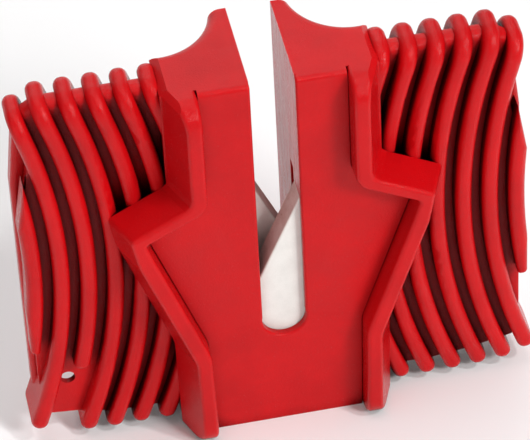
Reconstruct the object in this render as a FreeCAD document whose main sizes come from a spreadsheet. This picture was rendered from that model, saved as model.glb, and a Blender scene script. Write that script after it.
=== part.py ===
import math
import os

import FreeCAD
import Part
import Sketcher

V = FreeCAD.Vector

# Hand-held edge tuning tool: two moulded half shells and a face cover that
# hold two crossed ceramic plates in a slot. The edge being tuned is drawn
# through the slot from the open top. Millimetres, +Z towards the slot's
# mouth, the raised arrow rim faces -Y, and the base stands at Z = 0.

doc = FreeCAD.newDocument("edge_tuning_tool")
sheet = doc.addObject("Spreadsheet::Sheet", "dims")

SIZES = [
    # block and shells
    ("body_height", 52.3),
    ("front_y", -8.85),          # front of the rim
    ("face_y", -5.65),           # visible face of the cover
    ("wing_front_y", -3.85),     # front of the grip ribs
    ("wing_back_y", 2.95),
    ("seam_y", 1.95),             # joint of the two shells
    ("back_y", 8.85),
    ("flank_reach", 5.0),        # depth over which the block's flanks flare
    ("core_half_width", 12.6),
    ("core_top_x", 11.7),
    ("core_top_drop", 0.9),
    ("rim_top_round", 3.1),
    ("rim_foot_round", 2.8),
    # arrow outline at the front of the rim
    ("neck_x", 10.4),
    ("neck_top_x", 8.9),
    ("neck_top_drop", 0.8),
    ("notch_z", 38.4),
    ("tip_x", 17.7),
    ("tip_z", 34.6),
    ("tip_low_x", 16.9),
    ("tip_low_z", 30.4),
    ("waist_x", 11.0),
    ("waist_z", 13.6),
    ("foot_x", 10.8),
    ("flare", 2.0),              # growth of the outline over flank_reach
    ("notch_lift", 0.91),        # the inside corner above the ledge is eased
    ("notch_mid_x", 0.22),
    ("notch_mid_z", 0.13),
    ("notch_run", 0.81),
    ("notch_fall", 0.42),
    ("tip_round", 0.8),
    ("waist_round", 4.0),
    # recess inside the rim
    ("inner_neck_x", 8.6),
    ("inner_notch_x", 9.3),
    ("inner_notch_z", 37.1),
    ("inner_tip_x", 16.0),
    ("inner_tip_z", 33.7),
    ("inner_low_x", 15.0),
    ("inner_low_z", 30.6),
    ("inner_waist_x", 9.3),
    ("inner_waist_z", 14.4),
    ("inner_foot_x", 9.0),
    ("inner_notch_round", 1.4),
    ("inner_tip_round", 0.5),
    ("rim_round", 0.55),
    # cover
    ("cover_thick", 1.0),
    ("cover_gap", 0.06),
    ("cover_top_round", 0.6),
    ("cover_slot_round", 0.3),
    # slot
    ("slot_width", 5.2),
    ("slot_end_radius", 2.65),
    ("slot_end_z", 16.15),
    # thumb scoops at the rear of the top
    ("scoop_radius", 7.0),
    ("scoop_x", 11.5),
    ("scoop_y", 10.33),
    ("scoop_tilt", 30.0),
    ("scoop_lip_round", 1.4),
    # wings
    ("rib_radius", 72.0),
    ("rib_width", 2.0),
    ("rib_pitch", 3.2),
    ("rib_outer_x", 25.5),       # waist of the outermost whole rib
    ("rib_waist_z", 28.0),
    ("rib_round", 0.9),
    ("rib_3_foot", 1.1),         # the outer ribs stop short of the wing's foot
    ("rib_4_foot", 1.4),
    ("rib_5_foot", 2.5),
    ("rib_5_top", 50.65),
    ("short_rib_foot", 11.1),    # fourth rib of the left wing, above the eye
    ("wing_top_z", 52.05),
    ("wing_foot_z", 0.95),
    ("wing_inner_x", 7.0),
    ("wing_outer_x", 30.0),
    ("brow_z", 34.0),            # the outermost, partial rib tapers above here
    ("partial_top_x", 28.6),
    ("partial_top_z", 42.6),
    ("partial_foot_z", 15.0),
    ("partial_corner", 0.5),
    ("partial_brow_round", 3.0),
    ("partial_back_y", -0.6),
    ("partial_rim_round", 0.6),
    ("flange_y", 0.3),           # rear flange along the wing's outer edge
    ("flange_foot_z", 6.5),
    ("flange_bend_z", 38.0),
    ("flange_top_z", 48.0),
    ("flange_top_x", 28.9),
    ("wing_bend", 3.0),
    ("wing_rear_bend", 2.0),
    ("wing_rim_round", 1.1),
    ("web_thick", 2.5),
    ("web_drop", 0.75),
    ("web_top_round", 1.0),
    ("web_foot_z", 1.9),
    ("web_foot_mid_x", 23.0),    # the foot of the web rises outwards
    ("web_foot_mid_z", 2.4),
    ("web_foot_outer_x", 28.5),
    ("web_foot_outer_z", 3.6),
    ("web_outer_x", 29.3),
    ("web_hollow_x", 26.9),      # tucked behind the fifth rib
    ("web_hollow_z", 44.0),
    ("web_shoulder_x", 28.4),
    ("web_shoulder_z", 50.0),
    # lanyard eye, in the left wing only
    ("eye_x", 25.85),
    ("eye_z", 8.7),
    ("eye_radius", 0.9),
    ("eye_pad_y", -1.7),
    ("eye_pad_thick", 0.8),
    ("eye_top_z", 10.6),
    # ceramic plates
    ("plate_thick", 3.2),
    ("plate_width", 8.0),
    ("plate_length", 25.0),
    ("plate_tilt", 24.0),
    ("cross_z", 27.9),
    ("plate_shift", 3.0),        # of the plate's middle, down along its edge
    ("plate_gap", 0.08),
    ("rear_plate_y", -0.05),
    ("relief_depth", 1.7),
    ("relief_inset", 1.2),
    ("relief_rise", 0.8),       # of the relief above the plate's slanted edge
    ("plate_round", 0.25),
]

for row, (word, value) in enumerate(SIZES, start=1):
    sheet.set("A%d" % row, word)
    sheet.set("B%d" % row, str(value))
    sheet.setAlias("B%d" % row, word)
doc.recompute()


def val(word):
    return float(sheet.get(word))


def bind(obj, **links):
    """Tie properties to expressions; double underscores stand for dots."""
    for prop, rule in links.items():
        obj.setExpression(prop.replace("__", "."), rule)
    return obj


def dim(rule):
    """Write a rule with sheet names in it; a leading '=' is not needed."""
    for word, _ in sorted(SIZES, key=lambda s: -len(s[0])):
        rule = rule.replace("<" + word + ">", "dims." + word)
    return rule


def outline(name, corners, y_rule):
    """Closed polygon in an upright plane, each corner a pair of rules."""
    sk = doc.addObject("Sketcher::SketchObject", name)
    sk.Placement = FreeCAD.Placement(V(0, 0, 0), FreeCAD.Rotation(V(1, 0, 0), 90))
    sk.setExpression("Placement.Base.y", dim(y_rule))
    count = len(corners)
    start = [V(*[rough(rule) for rule in corner], 0) for corner in corners]
    for i in range(count):
        sk.addGeometry(Part.LineSegment(start[i], start[(i + 1) % count]), False)
    for i in range(count):
        sk.addConstraint(Sketcher.Constraint("Coincident", i, 2, (i + 1) % count, 1))
    for i, (rule_x, rule_z) in enumerate(corners):
        for kind, rule, at in (("DistanceX", rule_x, start[i].x), ("DistanceY", rule_z, start[i].y)):
            index = sk.addConstraint(Sketcher.Constraint(kind, i, 1, at))
            label = "c%d_%s" % (i + 1, kind[-1].lower())
            sk.renameConstraint(index, label)
            sk.setExpression("Constraints." + label, dim(rule))
    return sk


def rough(rule):
    """Value of a simple sum of sheet names and numbers."""
    total = 0.0
    for term in rule.replace("- ", "-").replace("+ ", "").split():
        sign = -1.0 if term.startswith("-") else 1.0
        term = term.lstrip("-")
        total += sign * (val(term[1:-1]) if term.startswith("<") else float(term))
    return total


def prism(name, sketch, length_rule):
    ex = doc.addObject("Part::Extrusion", name)
    ex.Base = sketch
    ex.DirMode = "Custom"
    ex.Dir = V(0, 1, 0)
    ex.Solid = True
    ex.setExpression("LengthFwd", dim(length_rule))
    return ex


def loft(name, *sections):
    lo = doc.addObject("Part::Loft", name)
    lo.Sections = list(sections)
    lo.Solid = True
    lo.Ruled = True
    return lo


def box(name, **rules):
    """Box from rules x, y, z (low corner) and length, width, height."""
    bx = doc.addObject("Part::Box", name)
    for key, prop in (("x", "Placement.Base.x"), ("y", "Placement.Base.y"), ("z", "Placement.Base.z"),
                      ("length", "Length"), ("width", "Width"), ("height", "Height")):
        bx.setExpression(prop, dim(rules[key]))
    return bx


def rod(name, radius, length, x, y, z):
    """Cylinder along +Y."""
    cy = doc.addObject("Part::Cylinder", name)
    cy.Placement = FreeCAD.Placement(V(0, 0, 0), FreeCAD.Rotation(V(1, 0, 0), -90))
    bind(cy, Radius=dim(radius), Height=dim(length))
    for axis, rule in (("x", x), ("y", y), ("z", z)):
        cy.setExpression("Placement.Base." + axis, dim(rule))
    return cy


def fuse(name, *shapes):
    fu = doc.addObject("Part::MultiFuse", name)
    fu.Shapes = list(shapes)
    fu.Refine = True
    return fu


def common(name, *shapes):
    co = doc.addObject("Part::MultiCommon", name)
    co.Shapes = list(shapes)
    co.Refine = True
    return co


def cut(name, base, tool):
    cu = doc.addObject("Part::Cut", name)
    cu.Base = base
    cu.Tool = tool
    cu.Refine = True
    return cu


def mirror(name, base):
    mi = doc.addObject("Part::Mirroring", name)
    mi.Source = base
    mi.Normal = V(1, 0, 0)
    mi.Base = V(0, 0, 0)
    return mi


def rounded(name, base, radius_word, choose):
    """Round the edges of base for which choose(edge) holds."""
    doc.recompute()
    radius = val(radius_word)
    fi = doc.addObject("Part::Fillet", name)
    fi.Base = base
    fi.Edges = [(i + 1, radius, radius) for i, e in enumerate(base.Shape.Edges) if choose(e)]
    doc.recompute()
    return fi


def spans(edge, axis):
    low, high = getattr(edge.BoundBox, axis + "Min"), getattr(edge.BoundBox, axis + "Max")
    return low, high


def lies_at(edge, axis, place, slack=0.02):
    low, high = spans(edge, axis)
    return abs(low - place) < slack and abs(high - place) < slack


# ---------------------------------------------------------------- block

def arrow(name, y_rule, grow):
    """Right half of the arrow outline, grown outwards by the flare."""
    g = " + <flare>" if grow else ""
    return outline(name, [
        ("0", "<body_height> + 1"),
        ("<neck_top_x>" + g, "<body_height> + 1"),
        ("<neck_x>" + g, "<body_height> - <neck_top_drop>"),
        ("<neck_x>" + g, "<notch_z> + <notch_lift>"),
        ("<neck_x> + <notch_mid_x>" + g, "<notch_z> + <notch_mid_z>"),
        ("<neck_x> + <notch_run>" + g, "<notch_z> - <notch_fall>"),
        ("<tip_x>" + g, "<tip_z>"),
        ("<tip_low_x>" + g, "<tip_low_z>"),
        ("<waist_x>" + g, "<waist_z>"),
        ("<foot_x>" + g, "-1"),
        ("0", "-1")], y_rule)


front_flank = loft("front_flank", arrow("arrow_front", "<front_y>", False),
                   arrow("arrow_wing", "<front_y> + <flank_reach>", True))
rear_flank = loft("rear_flank", arrow("arrow_wing_rear", "<wing_back_y>", True),
                  arrow("arrow_rear", "<back_y>", False))
core_outline = outline("core_outline", [
    ("0", "<body_height> + 1"),
    ("<core_top_x>", "<body_height> + 1"),
    ("<core_top_x>", "<body_height>"),
    ("<core_half_width>", "<body_height> - <core_top_drop>"),
    ("<core_half_width>", "-1"),
    ("0", "-1")], "<wing_front_y>")
core = prism("core", core_outline, "<wing_back_y> - <wing_front_y>")
half_block = fuse("half_block_raw", front_flank, core, rear_flank)

# side profile: rounded rim top and foot, flat back
side_slab = box("side_slab", x="-1", y="<front_y>", z="0", length="<tip_x> + 6",
                width="<back_y> - <front_y>", height="<body_height>")
side_slab_foot = rounded("rim_foot_rounding", side_slab, "rim_foot_round", lambda e:
                         lies_at(e, "Y", val("front_y")) and lies_at(e, "Z", 0))
side_slab_round = rounded("rim_top_rounding", side_slab_foot, "rim_top_round", lambda e:
                          lies_at(e, "Y", val("front_y")) and lies_at(e, "Z", val("body_height")))
trimmed = common("half_block_trimmed", half_block, side_slab_round)

scoop = doc.addObject("Part::Cylinder", "thumb_scoop")
scoop.Placement = FreeCAD.Placement(V(0, 0, 0), FreeCAD.Rotation(V(1, 0, 0), -90))
bind(scoop, Radius=dim("<scoop_radius>"), Height="60 mm")
scoop_angle = 180.0 + val("scoop_tilt")
scoop.Placement = FreeCAD.Placement(V(0, 0, 0), FreeCAD.Rotation(V(1, 0, 0), scoop_angle))
scoop_reach = 20.0
lean = math.radians(val("scoop_tilt"))
scoop.Placement.Base = V(val("scoop_x"), val("scoop_y") - scoop_reach * math.sin(lean),
                         val("body_height") + scoop_reach * math.cos(lean))
scooped = cut("half_block_scooped", trimmed, scoop)
doc.recompute()


def at_corner(edge, *spots):
    """True for an edge that runs front to back from one of the named corners."""
    low, high = spans(edge, "Y")
    if high - low < 0.8:
        return False
    ends = sorted((v.Point for v in edge.Vertexes), key=lambda p: -abs(p.y - val("seam_y")))
    return any(abs(ends[0].x - val(x)) < 0.03 and abs(ends[0].z - val(z)) < 0.03 for x, z in spots)


soft_tip = rounded("tip_rounding", scooped, "tip_round", lambda e:
                   at_corner(e, ("tip_x", "tip_z"), ("tip_low_x", "tip_low_z")))
soft_waist = rounded("waist_rounding", soft_tip, "waist_round", lambda e: at_corner(e, ("waist_x", "waist_z")))
soft_lip = rounded("scoop_lip_rounding", soft_waist, "scoop_lip_round", lambda e:
                   lies_at(e, "Z", val("body_height")) and e.Curve.TypeId == "Part::GeomEllipse")
block = fuse("block", soft_lip, mirror("other_half_block", soft_lip))


# ---------------------------------------------------------------- recess and slot

def inner_arrow(name, y_rule, gap):
    """Right half of the outline inside the rim, shrunk by gap."""
    return outline(name, [
        ("0", "<body_height>" + (" + 1" if gap == "" else "")),
        ("<inner_neck_x>" + gap, "<body_height>" + (" + 1" if gap == "" else "")),
        ("<inner_neck_x>" + gap, "<inner_notch_z>" + gap + " + 1.2"),
        ("<inner_notch_x>" + gap, "<inner_notch_z>" + gap),
        ("<inner_tip_x>" + gap + gap, "<inner_tip_z>" + gap),
        ("<inner_low_x>" + gap + gap, "<inner_low_z>"),
        ("<inner_waist_x>" + gap, "<inner_waist_z>"),
        ("<inner_foot_x>" + gap, "0" + (" - 1" if gap == "" else "")),
        ("0", "0" + (" - 1" if gap == "" else ""))], y_rule)


def soften_inner(name, base):
    """Round the upright corners of the recess or of the cover that fills it."""
    def upright(edge, *words):
        low, high = spans(edge, "Y")
        return high - low > 0.5 and any(
            abs(edge.Vertexes[0].X - val(x)) < 0.2 and abs(edge.Vertexes[0].Z - val(z) - rise) < 0.2
            for x, z, rise in words)
    bent = rounded(name + "_notch", base, "inner_notch_round", lambda e: upright(
        e, ("inner_neck_x", "inner_notch_z", 1.2), ("inner_notch_x", "inner_notch_z", 0)))
    tipped = rounded(name + "_tip", bent, "inner_tip_round", lambda e: upright(
        e, ("inner_tip_x", "inner_tip_z", 0), ("inner_low_x", "inner_low_z", 0)))
    return rounded(name + "_soft", tipped, "waist_round", lambda e: upright(
        e, ("inner_waist_x", "inner_waist_z", 0)))


recess_half = soften_inner("recess_half", prism(
    "recess_half_sharp", inner_arrow("recess_outline", "<front_y> - 1", ""),
    "<face_y> - <front_y> + <cover_thick> + 1"))
recess = fuse("recess", recess_half, mirror("recess_other_half", recess_half))
recessed = cut("block_recessed", block, recess)

slot_box = box("slot_sides", x="-0.5 * <slot_width>", y="<front_y> - 5",
               z="<slot_end_z> - sqrt(<slot_end_radius> ^ 2 - (0.5 * <slot_width>) ^ 2)",
               length="<slot_width>", width="40", height="<body_height>")
slot_end = rod("slot_end", "<slot_end_radius>", "40", "0", "<front_y> - 5", "<slot_end_z>")
slot = fuse("slot", slot_box, slot_end)

# ---------------------------------------------------------------- wings
# One wing is made on +X: a thin web and curved grip ribs, all rounded over
# at the top and the foot. The outermost rib is partial and D-shaped.

partial_outline = outline("partial_outline", [
    ("<partial_top_x> - 3", "<partial_top_z>"),
    ("<partial_top_x>", "<partial_top_z>"),
    ("<wing_outer_x>", "<brow_z>"),
    ("<wing_outer_x>", "<partial_foot_z>"),
    ("<partial_top_x> - 3", "<partial_foot_z>")], "<wing_front_y>")
partial_block = prism("partial_block", partial_outline, "<partial_back_y> - <wing_front_y>")
partial_cornered = rounded("partial_corner_rounding", partial_block, "partial_corner", lambda e:
                           lies_at(e, "X", val("wing_outer_x")) and spans(e, "Y")[1] - spans(e, "Y")[0] > 1
                           and lies_at(e, "Z", val("partial_foot_z")))
partial_browed = rounded("partial_brow_rounding", partial_cornered, "partial_brow_round", lambda e:
                         lies_at(e, "X", val("wing_outer_x")) and lies_at(e, "Z", val("brow_z")))
partial_soft = rounded("partial_rim_rounding", partial_browed, "partial_rim_round", lambda e:
                       spans(e, "Y")[1] - spans(e, "Y")[0] < 0.01
                       and spans(e, "X")[1] > val("partial_top_x") + 0.1)
flange_outline = outline("flange_outline", [
    ("<web_hollow_x>", "<flange_foot_z>"),
    ("<wing_outer_x>", "<flange_foot_z>"),
    ("<wing_outer_x>", "<flange_bend_z>"),
    ("<flange_top_x> + 0.4", "<flange_top_z> - 3.5"),
    ("<flange_top_x>", "<flange_top_z>"),
    ("<web_hollow_x>", "<flange_top_z>")], "<flange_y>")
flange_block = prism("flange_block", flange_outline, "<wing_back_y> - <flange_y>")
flange = rounded("flange", flange_block, "partial_rim_round", lambda e:
                 spans(e, "Y")[1] - spans(e, "Y")[0] < 0.01 and spans(e, "X")[0] > val("web_hollow_x") + 0.1)


def soft_slab(name, foot_rule, top_rule):
    """Slab that bounds the ribs, rounded at its top and at its foot."""
    slab = box(name, x="0", y="<wing_front_y>", z=foot_rule, length="60",
               width="<wing_back_y> - <wing_front_y>", height="%s - (%s)" % (top_rule, foot_rule))
    front = rounded(name + "_front", slab, "wing_bend", lambda e:
                    lies_at(e, "Z", rough(top_rule)) and lies_at(e, "Y", val("wing_front_y")))
    top = rounded(name + "_top", front, "wing_rear_bend", lambda e:
                  lies_at(e, "Z", rough(top_rule)) and lies_at(e, "Y", val("wing_back_y")))
    return rounded(name + "_soft", top, "wing_rim_round", lambda e:
                   lies_at(e, "Z", rough(foot_rule)) and spans(e, "X")[1] - spans(e, "X")[0] > 1)


def is_sharp(shape, edge):
    """True where two faces meet at an angle along the edge."""
    faces = [f for f in shape.Faces if any(edge.isSame(other) for other in f.Edges)]
    if len(faces) != 2:
        return False
    middle = edge.valueAt(0.5 * (edge.FirstParameter + edge.LastParameter))
    normals = [f.normalAt(*f.Surface.parameter(middle)) for f in faces]
    return normals[0].getAngle(normals[1]) > 0.2


def rib(tag, number, slab):
    """One curved rib, number 1 next to the block, rounded all along."""
    centre = "<rib_outer_x> - %d * <rib_pitch> + <rib_radius>" % (5 - number)
    big = rod(tag + "_outside", "<rib_radius> + 0.5 * <rib_width>", "<wing_back_y> - <wing_front_y> + 2",
              centre, "<wing_front_y> - 1", "<rib_waist_z>")
    small = rod(tag + "_inside", "<rib_radius> - 0.5 * <rib_width>", "<wing_back_y> - <wing_front_y> + 4",
                centre, "<wing_front_y> - 2", "<rib_waist_z>")
    ring = cut(tag + "_ring", big, small)
    plain = common(tag + "_plain", ring, slab)
    doc.recompute()
    return rounded(tag, plain, "rib_round", lambda e: is_sharp(plain.Shape, e))


long_slab = soft_slab("long_slab", "<wing_foot_z>", "<wing_top_z>")
ribs = [rib("rib_%d" % number, number, long_slab) for number in range(3)]
rib_3 = rib("rib_3", 3, soft_slab("slab_3", "<rib_3_foot>", "<wing_top_z>"))
rib_4 = rib("rib_4", 4, soft_slab("slab_4", "<rib_4_foot>", "<wing_top_z>"))
rib_5 = rib("rib_5", 5, soft_slab("slab_5", "<rib_5_foot>", "<rib_5_top>"))
short_rib = rib("short_rib", 4, soft_slab("short_slab", "<short_rib_foot>", "<wing_top_z>"))
partial_rib = common("partial_rib", rib("partial_bar", 6, long_slab), partial_soft)

web_outline = outline("web_outline", [
    ("<wing_inner_x>", "<wing_top_z> - <web_drop>"),
    ("<web_shoulder_x> - 2", "<wing_top_z> - <web_drop>"),
    ("<web_shoulder_x>", "<web_shoulder_z>"),
    ("<web_shoulder_x>", "<web_hollow_z> + 4.5"),
    ("<web_hollow_x>", "<web_hollow_z>"),
    ("<web_hollow_x> + 1.3", "<web_hollow_z> - 3"),
    ("<web_outer_x>", "<brow_z> - 1"),
    ("<web_outer_x>", "<web_foot_outer_z> + 1.4"),
    ("<web_foot_outer_x>", "<web_foot_outer_z>"),
    ("<web_foot_mid_x>", "<web_foot_mid_z>"),
    ("<web_foot_mid_x> - 4.5", "<web_foot_z>"),
    ("<wing_inner_x>", "<web_foot_z>")], "0")
web_sharp = prism("web_sharp", web_outline, "<web_thick>")
web_sharp.setExpression("Placement.Base.y", dim("0.5 * (<wing_front_y> + <wing_back_y> - <web_thick>)"))
web = rounded("web", web_sharp, "web_top_round", lambda e:
              spans(e, "Y")[1] - spans(e, "Y")[0] < 0.01 and spans(e, "Z")[0] > val("web_shoulder_z") - 0.1)
right_wing = fuse("right_wing", web, *ribs, rib_3, rib_4, rib_5, partial_rib, flange)

# The left wing gives up the foot of its fourth rib to a thin lanyard eye.
# The eye fills the space between the third and the fifth rib.
eye_centre = "<rib_outer_x> - <rib_pitch> + <rib_radius>"
eye_big = rod("eye_zone_outside", "<rib_radius> + <rib_pitch> - 0.4 * <rib_width>", "20",
              eye_centre, "<wing_front_y> - 2", "<rib_waist_z>")
eye_small = rod("eye_zone_inside", "<rib_radius> - <rib_pitch> + 0.4 * <rib_width>", "24",
                eye_centre, "<wing_front_y> - 3", "<rib_waist_z>")
eye_band = cut("eye_band", eye_big, eye_small)
eye_space = box("eye_space", x="<eye_x> - 9", y="<wing_front_y> - 1", z="-1", length="18", width="12",
                height="<eye_top_z> + 1")
eye_zone = common("eye_zone", eye_band, eye_space)
pad_outline = outline("pad_outline", [
    ("<eye_x> - 9", "<eye_top_z> + 0.3"),
    ("<eye_x> + 9", "<eye_top_z> + 0.3"),
    ("<eye_x> + 9", "<web_foot_outer_z> + 0.4"),
    ("<eye_x> - 9", "<web_foot_mid_z> - 0.2")], "<eye_pad_y>")
eye_pad = common("eye_pad", eye_band, prism("eye_pad_space", pad_outline, "<eye_pad_thick>"))
eye_hole = rod("eye_hole", "<eye_radius>", "20", "<eye_x>", "<wing_front_y> - 2", "<eye_z>")
ribbed_left = fuse("ribbed_left", cut("opened_web", web, eye_zone), *ribs, rib_3, short_rib, rib_5,
                   partial_rib, flange)
eyed_wing = cut("eyed_wing", fuse("padded_wing", ribbed_left, eye_pad), eye_hole)
left_wing = mirror("left_wing", eyed_wing)

# ---------------------------------------------------------------- plates and pockets

def slanted(name, y_rule, thick_rule, grow, side_low, side_high):
    """Box along the slanted plate; grow lengthens it at both ends."""
    bx = doc.addObject("Part::Box", name)
    bx.Placement = FreeCAD.Placement(V(0, 0, 0), FreeCAD.Rotation(V(0, 1, 0), val("plate_tilt")))
    back = "(0.5 * <plate_length> + <plate_shift> + %s)" % grow
    bind(bx, Length=dim("<plate_width> + %s + %s" % (side_low, side_high)),
         Width=dim(thick_rule), Height=dim("<plate_length> + 2 * (%s)" % grow),
         Placement__Base__x=dim("-sin(<plate_tilt>) * %s - cos(<plate_tilt>) * (%s)" % (back, side_low)),
         Placement__Base__y=dim(y_rule),
         Placement__Base__z=dim("<cross_z> - cos(<plate_tilt>) * %s + sin(<plate_tilt>) * (%s)"
                                % (back, side_low)))
    return bx


plate_y = "(<face_y> + <cover_thick> + <plate_gap>)"
front_plate_raw = slanted("front_plate_raw", plate_y, "<plate_thick>", "0", "0", "0")
rear_plate_raw = mirror("rear_plate_raw", slanted("rear_plate_right", "<rear_plate_y>", "<plate_thick>",
                                                  "0", "0", "0"))
front_pocket = slanted("front_pocket", "<face_y> + <cover_thick> - 0.5", "<plate_thick> + <plate_gap> + 0.5",
                       "<plate_gap>", "<plate_gap>", "<plate_gap>")
front_relief = slanted("front_relief", plate_y + " + <plate_thick> - 0.1", "<relief_depth> + 0.1",
                       "-<relief_inset>", "<relief_rise>", "-<relief_inset>")
rear_pocket = mirror("rear_pocket", slanted("rear_pocket_right", "<rear_plate_y> - 0.02",
                                            "<plate_thick> + 0.04", "<plate_gap>", "<plate_gap>", "<plate_gap>"))

# ---------------------------------------------------------------- parts

whole = fuse("whole_body", recessed, right_wing, left_wing)
openings = fuse("openings", slot, front_pocket, front_relief, rear_pocket)
opened = cut("opened_body", whole, openings)
rear_half = box("rear_half_space", x="-40", y="<seam_y>", z="-5", length="80", width="20", height="70")
rear_blank = common("rear_blank", recessed, rear_half)
rear_shell = cut("rear_shell", rear_blank, openings)
front_raw = cut("front_shell_raw", opened, rear_blank)
front_shell = rounded("front_shell", front_raw, "rim_round", lambda e:
                      lies_at(e, "Y", val("front_y")) and spans(e, "Z")[1] > 3.5)

cover_half = soften_inner("cover_half", prism(
    "cover_half_sharp", inner_arrow("cover_outline", "<face_y>", " - <cover_gap>"), "<cover_thick>"))
cover_slotted = cut("cover_slotted", fuse("cover_blank", cover_half, mirror("cover_other_half", cover_half)), slot)
cover_topped = rounded("cover_top_rounding", cover_slotted, "cover_top_round", lambda e:
                       lies_at(e, "Y", val("face_y")) and lies_at(e, "Z", val("body_height")))
face_cover = rounded("face_cover", cover_topped, "cover_slot_round", lambda e:
                     lies_at(e, "Y", val("face_y")) and spans(e, "X")[1] < 0.51 * val("slot_width") + 0.1
                     and spans(e, "X")[0] > -0.51 * val("slot_width") - 0.1)
ceramic_front = rounded("ceramic_front", front_plate_raw, "plate_round", lambda e: True)
ceramic_rear = rounded("ceramic_rear", rear_plate_raw, "plate_round", lambda e: True)

# ---------------------------------------------------------------- export

doc.recompute()
NODES = [front_shell, rear_shell, face_cover, ceramic_front, ceramic_rear]
for obj in doc.Objects:
    state = [word for word in obj.State if word not in ("Up-to-date", "Touched")]
    if state:
        raise RuntimeError("%s is in state %s" % (obj.Name, obj.State))
    if hasattr(obj, "Shape") and obj not in (sheet,):
        if obj.Shape.isNull() or not obj.Shape.isValid():
            raise RuntimeError("%s has a bad shape" % obj.Name)

os.makedirs("parts", exist_ok=True)
for node in NODES:
    if len(node.Shape.Solids) != 1:
        raise RuntimeError("%s has %d solids" % (node.Name, len(node.Shape.Solids)))
    node.Shape.exportStep("parts/%s.step" % node.Name)
    tight = node.Shape.optimalBoundingBox(False)
    print("%-14s %9.1f mm3  x %.2f..%.2f  y %.2f..%.2f  z %.2f..%.2f" % (
        node.Name, node.Shape.Volume, tight.XMin, tight.XMax, tight.YMin, tight.YMax, tight.ZMin, tight.ZMax))
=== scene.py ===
import math

import bpy
from mathutils import Matrix, Vector

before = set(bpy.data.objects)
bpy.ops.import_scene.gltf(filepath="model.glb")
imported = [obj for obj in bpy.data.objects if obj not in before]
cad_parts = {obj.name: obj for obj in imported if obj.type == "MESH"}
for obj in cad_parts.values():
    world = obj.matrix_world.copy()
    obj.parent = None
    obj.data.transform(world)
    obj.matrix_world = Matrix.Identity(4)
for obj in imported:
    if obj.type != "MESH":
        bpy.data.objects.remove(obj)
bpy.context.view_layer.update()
print("edge tool: frame loaded")

# the view: the tool stands open end up, seen from the front and above
viewValues = {
    "place": (-0.05613, -0.33967, 0.33675),
    "turn": -9.25387,       # degrees from straight in front
    "rise": 41.99,          # degrees above level
    "roll": -3.13928,
    "lens": 268.74,         # mm
    "sensorWidth": 36,      # mm
    "nearClip": 0.01,
    "farClip": 20,
}


def makeCamera(values):
    turn, rise, roll = (math.radians(values[key]) for key in ("turn", "rise", "roll"))
    back = Vector((math.sin(turn) * math.cos(rise),
                   -math.cos(turn) * math.cos(rise),
                   math.sin(rise)))
    ahead = -back
    levelRight = ahead.cross(Vector((0, 0, 1))).normalized()
    levelUp = levelRight.cross(ahead)
    right = math.cos(roll) * levelRight + math.sin(roll) * levelUp
    up = -math.sin(roll) * levelRight + math.cos(roll) * levelUp
    data = bpy.data.cameras.new("toolView")
    data.sensor_width = values["sensorWidth"]
    data.lens = values["lens"]
    data.clip_start = values["nearClip"]
    data.clip_end = values["farClip"]
    camera = bpy.data.objects.new("toolView", data)
    place = Vector(values["place"])
    camera.matrix_world = Matrix((
        (right.x, up.x, back.x, place.x),
        (right.y, up.y, back.y, place.y),
        (right.z, up.z, back.z, place.z),
        (0, 0, 0, 1)))
    bpy.context.scene.collection.objects.link(camera)
    bpy.context.scene.camera = camera


makeCamera(viewValues)
print("edge tool: camera set")


def addNode(tree, kind, **settings):
    node = tree.nodes.new(kind)
    for key, value in settings.items():
        setattr(node, key, value)
    return node


def noiseNode(tree, place, scale, detail, roughness):
    noise = addNode(tree, "ShaderNodeTexNoise")
    noise.inputs["Scale"].default_value = scale
    noise.inputs["Detail"].default_value = detail
    noise.inputs["Roughness"].default_value = roughness
    tree.links.new(place, noise.inputs["Vector"])
    return noise.outputs["Fac"]


def rangeNode(tree, source, fromPair, toPair):
    span = addNode(tree, "ShaderNodeMapRange")
    for key, value in zip(("From Min", "From Max", "To Min", "To Max"), (*fromPair, *toPair)):
        span.inputs[key].default_value = value
    tree.links.new(source, span.inputs["Value"])
    return span.outputs["Result"]


def mixColours(tree, amount, first, second):
    mix = addNode(tree, "ShaderNodeMix", data_type="RGBA")
    tree.links.new(amount, mix.inputs["Factor"])
    for socket, value in ((mix.inputs["A"], first), (mix.inputs["B"], second)):
        if isinstance(value, tuple):
            socket.default_value = (*value, 1)
        else:
            tree.links.new(value, socket)
    return mix.outputs["Result"]


def multiply(tree, first, second):
    product = addNode(tree, "ShaderNodeMath", operation="MULTIPLY", use_clamp=True)
    tree.links.new(first, product.inputs[0])
    tree.links.new(second, product.inputs[1])
    return product.outputs["Value"]


def absolute(tree, source):
    size = addNode(tree, "ShaderNodeMath", operation="ABSOLUTE")
    tree.links.new(source, size.inputs[0])
    return size.outputs["Value"]


def stackBump(tree, shader, layers):
    # each layer is a height, its depth in metres and its strength
    lower = None
    for height, depth, strength in layers:
        bump = addNode(tree, "ShaderNodeBump")
        bump.inputs["Distance"].default_value = depth
        bump.inputs["Strength"].default_value = strength
        tree.links.new(height, bump.inputs["Height"])
        if lower is not None:
            tree.links.new(lower, bump.inputs["Normal"])
        lower = bump.outputs["Normal"]
    tree.links.new(lower, shader.inputs["Normal"])


def emptyMaterial(name):
    material = bpy.data.materials.new(name)
    material.use_nodes = True
    tree = material.node_tree
    shader = tree.nodes["Principled BSDF"]
    place = addNode(tree, "ShaderNodeTexCoord").outputs["Object"]
    return material, tree, shader, place


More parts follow.
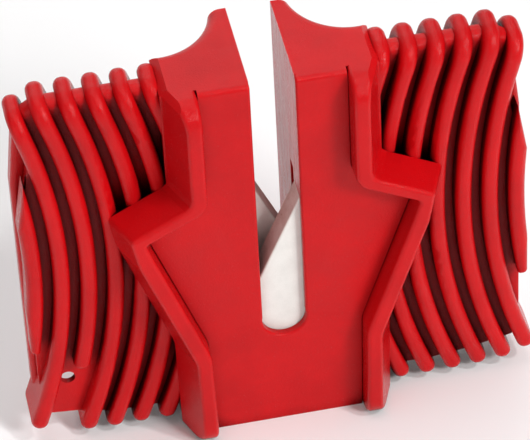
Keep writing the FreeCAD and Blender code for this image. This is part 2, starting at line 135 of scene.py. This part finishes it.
# painted pale reflection on the slot's two walls, in upright streaks
slotWallReflectionValues = {
    "colour": (0.66, 0.30, 0.31),
    "amount": (0.12, 0.80),      # between the streaks, and on them
    "halfWidth": 0.00264,        # of the slot, metres
    "widthFade": 0.00002,
    "frontEdge": -0.0050,        # the painted reflection starts behind this, and above clearZ
    "frontFade": 0.0004,
    "clearZ": 0.019,
    "clearFade": 0.004,
    "stretch": (1, 1, 0.06),
    "streaks": {"scale": 2400, "detail": 4, "roughness": 0.7},
    "streakRange": (0.38, 0.60),
}


# mask of the painted pale reflection on the slot's inner walls
def paintedWallReflection(tree, place, values):
    parts = addNode(tree, "ShaderNodeSeparateXYZ")
    tree.links.new(place, parts.inputs["Vector"])
    width, front, clear = values["halfWidth"], values["frontEdge"], values["clearZ"]
    inside = rangeNode(tree, absolute(tree, parts.outputs["X"]),
                       (width, width - values["widthFade"]), (0, 1))
    behind = rangeNode(tree, parts.outputs["Y"], (front, front + values["frontFade"]), (0, 1))
    above = rangeNode(tree, parts.outputs["Z"], (clear, clear + values["clearFade"]), (0, 1))
    stretch = addNode(tree, "ShaderNodeMapping")
    stretch.inputs["Scale"].default_value = values["stretch"]
    tree.links.new(place, stretch.inputs["Vector"])
    streaks = noiseNode(tree, stretch.outputs["Vector"], **values["streaks"])
    amount = rangeNode(tree, streaks, values["streakRange"], values["amount"])
    return multiply(tree, multiply(tree, inside, behind), multiply(tree, above, amount))


# glossy red moulding plastic: fine spark texture from the mould, a faint
# flow mottle, and scuffs on the high edges that fingers and table tops touch
redPlasticValues = {
    "colour": (0.610, 0.0030, 0.0055),
    "deepColour": (0.430, 0.0020, 0.0040),
    "mottle": {"scale": 140.0, "detail": 5, "roughness": 0.6},     # scales are per metre
    "mottleRange": (0.35, 0.75),
    "mottleAmount": 0.69,
    "spark": {"scale": 5200.0, "detail": 2, "roughness": 0.7},
    "sparkRange": (0.50, 0.72),
    "sparkAmount": 0.34,
    "sparkDepth": 0.00009,       # metres
    "sparkStrength": 0.7,
    "wave": {"scale": 260.0, "detail": 3, "roughness": 0.5},
    "waveDepth": 0.00006,
    "waveStrength": 0.35,
    "rubbedColour": (0.760, 0.050, 0.055),
    "rubbedAmount": 0.35,
    "rubbedRange": (0.40, 0.65),
    "edgeRange": (0.56, 0.70),   # of the mesh's own pointiness
    # painted shade: near black colour in the gaps between ribs and in crevices
    "paintedShadeColour": (0.012, 0.0008, 0.0009),
    "paintedShadeReach": 0.0032,       # metres, how far the painted shade reaches out of a gap
    "paintedShadeSamples": 8,
    "paintedShadeRange": (0.60, 0.22), # open at the first, deep in a gap at the second
    "paintedShadeAmount": 0.97,
    "gloss": (0.19, 0.0285),     # in the open, and in a gap under the painted shade
    "roughness": (0.16, 0.28),
    "roughnessRange": (0.30, 0.70),
    "refraction": 1.49,
    "scatter": 0.06,
    "scatterRadius": (0.0016, 0.0003, 0.0003),
    "scatterScale": 1.0,
}


def makeRedPlastic(values, wallReflection):
    material, tree, shader, place = emptyMaterial("redPlastic")
    mottle = noiseNode(tree, place, **values["mottle"])
    spark = noiseNode(tree, place, **values["spark"])
    wave = noiseNode(tree, place, **values["wave"])
    deep = rangeNode(tree, mottle, values["mottleRange"], (0, values["mottleAmount"]))
    base = mixColours(tree, deep, values["colour"], values["deepColour"])
    dark = rangeNode(tree, spark, values["sparkRange"], (0, values["sparkAmount"]))
    base = mixColours(tree, dark, base, values["deepColour"])
    curved = addNode(tree, "ShaderNodeNewGeometry").outputs["Pointiness"]
    highEdge = rangeNode(tree, curved, values["edgeRange"], (0, 1))
    patches = rangeNode(tree, mottle, values["rubbedRange"], (0, values["rubbedAmount"]))
    base = mixColours(tree, multiply(tree, highEdge, patches), base, values["rubbedColour"])
    # painted pale reflection on the slot's inner walls
    base = mixColours(tree, paintedWallReflection(tree, place, wallReflection), base, wallReflection["colour"])
    # painted shade: ambient occlusion turns the base colour near black in gaps and crevices
    hollow = addNode(tree, "ShaderNodeAmbientOcclusion", samples=values["paintedShadeSamples"])
    hollow.inputs["Distance"].default_value = values["paintedShadeReach"]
    openness = hollow.outputs["AO"]
    paintedShade = rangeNode(tree, openness, values["paintedShadeRange"], (0, values["paintedShadeAmount"]))
    base = mixColours(tree, paintedShade, base, values["paintedShadeColour"])
    tree.links.new(base, shader.inputs["Base Color"])
    rough = rangeNode(tree, spark, values["roughnessRange"], values["roughness"])
    tree.links.new(rough, shader.inputs["Roughness"])
    shader.inputs["Subsurface Weight"].default_value = values["scatter"]
    shader.inputs["Subsurface Radius"].default_value = values["scatterRadius"]
    shader.inputs["Subsurface Scale"].default_value = values["scatterScale"]
    shader.inputs["IOR"].default_value = values["refraction"]
    # the painted shade in the gaps also takes the gloss away
    gloss = rangeNode(tree, openness, values["paintedShadeRange"], values["gloss"])
    tree.links.new(gloss, shader.inputs["Specular IOR Level"])
    stackBump(tree, shader, (
        (wave, values["waveDepth"], values["waveStrength"]),
        (spark, values["sparkDepth"], values["sparkStrength"])))
    return material


# fired white ceramic: matt, fine open grain, a few rust coloured specks
whiteCeramicValues = {
    "colour": (0.830, 0.815, 0.775),
    "greyColour": (0.640, 0.625, 0.590),
    "grain": {"scale": 7000.0, "detail": 3, "roughness": 0.7},
    "grainRange": (0.50, 0.70),
    "grainAmount": 0.35,
    "grainDepth": 0.00004,       # metres
    "grainStrength": 0.6,
    "cloud": {"scale": 420.0, "detail": 4, "roughness": 0.6},
    "cloudRange": (0.40, 0.75),
    "cloudAmount": 0.45,
    "speckColour": (0.30, 0.13, 0.06),
    "speckScale": 520.0,
    "speckRange": (0.075, 0.030),
    "speckRarity": (0.60, 0.64),
    "dustColour": (0.40, 0.17, 0.125),   # steel and plastic dust on the working edges
    "dustAmount": 0.65,
    "dustFacing": (0.80, 0.25),          # broad faces look along Y, narrow edges do not
    "dustRange": (0.30, 0.60),
    "dustOnCloud": (0.65, 1),
    "dustOnGrain": (0.7, 1),
    "roughness": (0.55, 0.75),
    "roughnessRange": (0.3, 0.7),
    "refraction": 1.6,
}


def dustOnEdges(tree, cloud, grain, values):
    facing = addNode(tree, "ShaderNodeSeparateXYZ")
    normal = addNode(tree, "ShaderNodeNewGeometry").outputs["Normal"]
    tree.links.new(normal, facing.inputs["Vector"])
    flat = absolute(tree, facing.outputs["Y"])
    narrow = rangeNode(tree, flat, values["dustFacing"], (0, 1))
    patchy = multiply(tree,
                      rangeNode(tree, cloud, values["dustRange"], values["dustOnCloud"]),
                      rangeNode(tree, grain, values["dustRange"], values["dustOnGrain"]))
    shade = rangeNode(tree, patchy, (0, 1), (0, values["dustAmount"]))
    return multiply(tree, narrow, shade)


def makeWhiteCeramic(values):
    material, tree, shader, place = emptyMaterial("whiteCeramic")
    grain = noiseNode(tree, place, **values["grain"])
    cloud = noiseNode(tree, place, **values["cloud"])
    greyCloud = rangeNode(tree, cloud, values["cloudRange"], (0, values["cloudAmount"]))
    base = mixColours(tree, greyCloud, values["colour"], values["greyColour"])
    greyGrain = rangeNode(tree, grain, values["grainRange"], (0, values["grainAmount"]))
    base = mixColours(tree, greyGrain, base, values["greyColour"])
    cells = addNode(tree, "ShaderNodeTexVoronoi", feature="F1")
    cells.inputs["Scale"].default_value = values["speckScale"]
    tree.links.new(place, cells.inputs["Vector"])
    near = rangeNode(tree, cells.outputs["Distance"], values["speckRange"], (0, 1))
    rare = rangeNode(tree, cloud, values["speckRarity"], (0, 1))
    base = mixColours(tree, multiply(tree, near, rare), base, values["speckColour"])
    base = mixColours(tree, dustOnEdges(tree, cloud, grain, values), base, values["dustColour"])
    tree.links.new(base, shader.inputs["Base Color"])
    rough = rangeNode(tree, grain, values["roughnessRange"], values["roughness"])
    tree.links.new(rough, shader.inputs["Roughness"])
    shader.inputs["IOR"].default_value = values["refraction"]
    stackBump(tree, shader, ((grain, values["grainDepth"], values["grainStrength"]),))
    return material


def dress(nodeNames, material):
    for nodeName in nodeNames:
        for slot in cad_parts[nodeName].material_slots:
            slot.material = material


redPlastic = makeRedPlastic(redPlasticValues, slotWallReflectionValues)
whiteCeramic = makeWhiteCeramic(whiteCeramicValues)
dress(("front_shell", "rear_shell", "face_cover"), redPlastic)
dress(("ceramic_front", "ceramic_rear"), whiteCeramic)
print("edge tool: plastic and ceramic on the pieces")

# a plain pale table that curves up into a wall far behind, sizes in metres
tableValues = {
    "width": 3.0,
    "front": -1.6,
    "back": 1.2,
    "curve": 0.5,
    "curveSteps": 16,
    "wall": 1.6,
    "colour": (0.97, 0.97, 0.97),
    "shadeColour": (0.945, 0.945, 0.95),
    "shade": {"scale": 6, "detail": 3, "roughness": 0.5},
    "shadeRange": (0.35, 0.65),
    "roughness": 0.8,
}


def tableProfile(values):
    back, curve, steps = values["back"], values["curve"], values["curveSteps"]
    profile = [(values["front"], 0.0), (back, 0.0)]
    for step in range(1, steps + 1):
        angle = 0.5 * math.pi * step / steps
        profile.append((back + curve * math.sin(angle), curve * (1 - math.cos(angle))))
    profile.append((back + curve, values["wall"]))
    return profile


def makeTable(values):
    profile = tableProfile(values)
    half = 0.5 * values["width"]
    points = [(side, y, z) for y, z in profile for side in (-half, half)]
    faces = [(2 * i, 2 * i + 1, 2 * i + 3, 2 * i + 2) for i in range(len(profile) - 1)]
    mesh = bpy.data.meshes.new("paleTable")
    mesh.from_pydata(points, [], faces)
    mesh.polygons.foreach_set("use_smooth", [True] * len(faces))
    table = bpy.data.objects.new("paleTable", mesh)
    bpy.context.scene.collection.objects.link(table)
    material, tree, shader, place = emptyMaterial("paleTable")
    cloud = noiseNode(tree, place, **values["shade"])
    shade = rangeNode(tree, cloud, values["shadeRange"], (0, 1))
    tone = mixColours(tree, shade, values["colour"], values["shadeColour"])
    tree.links.new(tone, shader.inputs["Base Color"])
    shader.inputs["Roughness"].default_value = values["roughness"]
    mesh.materials.append(material)


makeTable(tableValues)
print("edge tool: table laid")

# a soft key and a glint from the upper right, a weak fill, and soft light from above and behind
lightValues = {
    "lamps": {
        "keyLamp": {"place": (0.38, -0.52, 0.46), "size": 0.15, "power": 2.8},
        "glintLamp": {"place": (0.34, -0.30, 0.62), "size": 0.05, "power": 1.30},
        "fillLamp": {"place": (-0.50, -0.60, 0.30), "size": 0.60, "power": 1.0},
        "topLamp": {"place": (-0.05, 0.15, 0.90), "size": 0.60, "power": 2.5},
        "backLamp": {"place": (-0.05, 0.85, 0.45), "size": 0.70, "power": 2.0},
    },
    "aim": (0, 0, 0.025),
    "surroundColour": (1.0, 1.0, 1.0),
    "surroundStrength": 0.27,
}


def softLamp(name, aim, place, size, power):
    data = bpy.data.lights.new(name, "AREA")
    data.shape = "SQUARE"
    data.size = size
    data.energy = power
    lamp = bpy.data.objects.new(name, data)
    lamp.location = place
    ray = Vector(aim) - Vector(place)
    lamp.rotation_euler = ray.to_track_quat("-Z", "Y").to_euler()
    bpy.context.scene.collection.objects.link(lamp)


def lightTheTable(values):
    for name, lamp in values["lamps"].items():
        softLamp(name, values["aim"], **lamp)
    world = bpy.data.worlds.new("paleRoom")
    world.use_nodes = True
    sky = world.node_tree.nodes["Background"]
    sky.inputs["Color"].default_value = (*values["surroundColour"], 1)
    sky.inputs["Strength"].default_value = values["surroundStrength"]
    bpy.context.scene.world = world
    bpy.context.scene.view_settings.view_transform = "Standard"


lightTheTable(lightValues)
print("edge tool: lights set")
